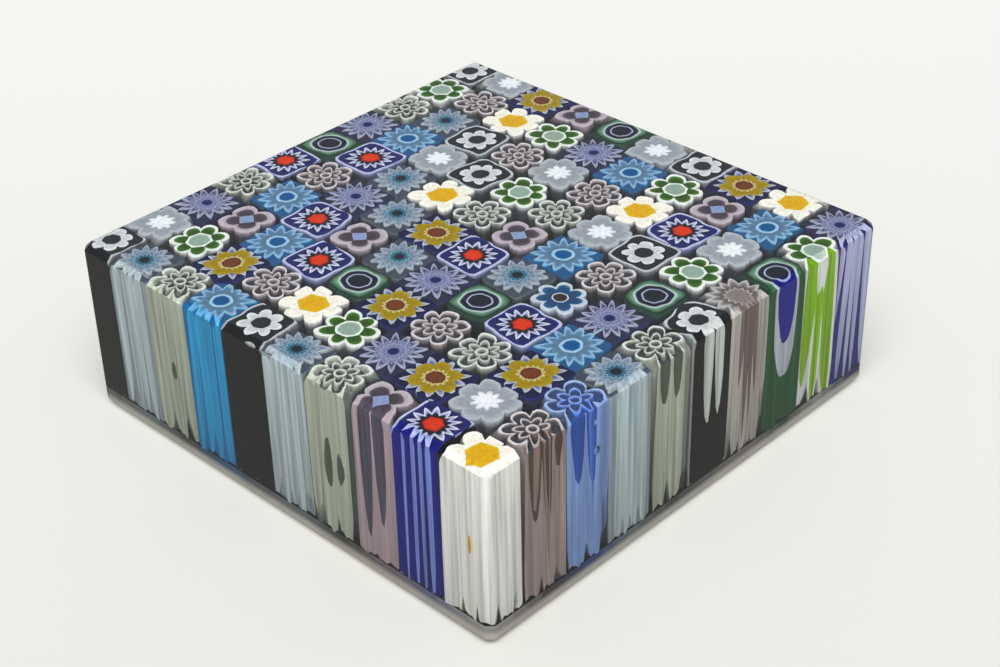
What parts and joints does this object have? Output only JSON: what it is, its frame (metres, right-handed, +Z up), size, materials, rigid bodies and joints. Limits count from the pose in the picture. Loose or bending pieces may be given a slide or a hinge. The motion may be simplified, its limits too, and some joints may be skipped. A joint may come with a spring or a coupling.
{
  "type": "millefiori glass block",
  "caption": "Square block of clear glass with a close grid of upright patterned glass canes, ground flat on top and sides, with a clear base. A desk paperweight.",
  "frame": {"origin": "middle of the flat bottom face", "axes": "+Z up through the polished top face, X and Y square to the ground sides, with the pictured front corner at -X, -Y"},
  "size_m": [0.09, 0.09, 0.031],
  "materials": {
    "clear_glass": "polished",
    "milk_white_glass": "polished",
    "pale_outline_glass": "polished",
    "black_glass": "polished",
    "cobalt_glass": "polished",
    "navy_glass": "polished",
    "orange_red_glass": "polished",
    "lavender_white_glass": "polished",
    "green_glass": "polished",
    "sea_green_glass": "polished",
    "grey_green_glass": "polished",
    "lemon_glass": "polished",
    "mustard_glass": "polished",
    "brown_red_glass": "polished",
    "cyan_glass": "polished",
    "pale_blue_glass": "polished",
    "steel_blue_glass": "polished",
    "brown_glass": "polished",
    "pink_glass": "polished",
    "sky_blue_glass": "polished",
    "frost_glass": "polished"
  },
  "bodies": {
    "root": {"black_flower_eye": "black_glass", "black_flower_field": "black_glass", "black_flower_outline": "pale_outline_glass", "black_flower_petals": "milk_white_glass", "blue_flower_outline": "sky_blue_glass", "blue_flower_ring": "sky_blue_glass", "blue_flower_star": "sky_blue_glass", "brown_flower_outline": "brown_glass", "brown_flower_ring": "brown_glass", "brown_flower_star": "brown_glass", "clear_flower_fillings": "clear_glass", "clear_glass_base": "clear_glass", "clear_glass_matrix": "clear_glass", "cyan_daisy_core": "cyan_glass", "cyan_daisy_disc": "steel_blue_glass", "cyan_daisy_ring": "pale_blue_glass", "cyan_daisy_spikes": "pale_blue_glass", "fringed_daisy_core": "brown_glass", "fringed_daisy_ring": "brown_glass", "fringed_daisy_spikes": "frost_glass", "frost_flower_core": "milk_white_glass", "frost_flower_outline": "frost_glass", "green_flower_centre": "grey_green_glass", "green_flower_outline": "milk_white_glass", "green_flower_petals": "green_glass", "green_flower_ring": "milk_white_glass", "grey_green_flower_outline": "grey_green_glass", "grey_green_flower_ring": "grey_green_glass", "grey_green_flower_star": "grey_green_glass", "lavender_daisy_centre": "navy_glass", "lavender_daisy_disc": "lavender_white_glass", "lavender_daisy_spikes": "lavender_white_glass", "pale_daisy_eye": "black_glass", "pale_daisy_ring": "steel_blue_glass", "pale_daisy_spikes": "pale_blue_glass", "quatrefoil_centre": "sky_blue_glass", "quatrefoil_field": "brown_glass", "quatrefoil_ring": "pink_glass", "red_star_burst": "black_glass", "red_star_centre": "orange_red_glass", "red_star_field": "cobalt_glass", "red_star_outline": "lavender_white_glass", "red_star_petals": "milk_white_glass", "ringed_cane_blue_ring": "navy_glass", "ringed_cane_core": "black_glass", "ringed_cane_jacket": "sea_green_glass", "ringed_cane_pale_ring": "pale_outline_glass", "ringed_cane_white_ring": "lavender_white_glass", "small_flower_eye": "brown_glass", "small_flower_outline": "milk_white_glass", "small_flower_petals": "cyan_glass", "small_flower_ring": "milk_white_glass", "white_daisy_core": "lemon_glass", "white_daisy_petals": "milk_white_glass", "yellow_flower_centre": "brown_red_glass", "yellow_flower_field": "navy_glass", "yellow_flower_petals": "mustard_glass", "yellow_flower_ring": "milk_white_glass", "yellow_flower_spikes": "milk_white_glass"}
  },
  "joints": []
}
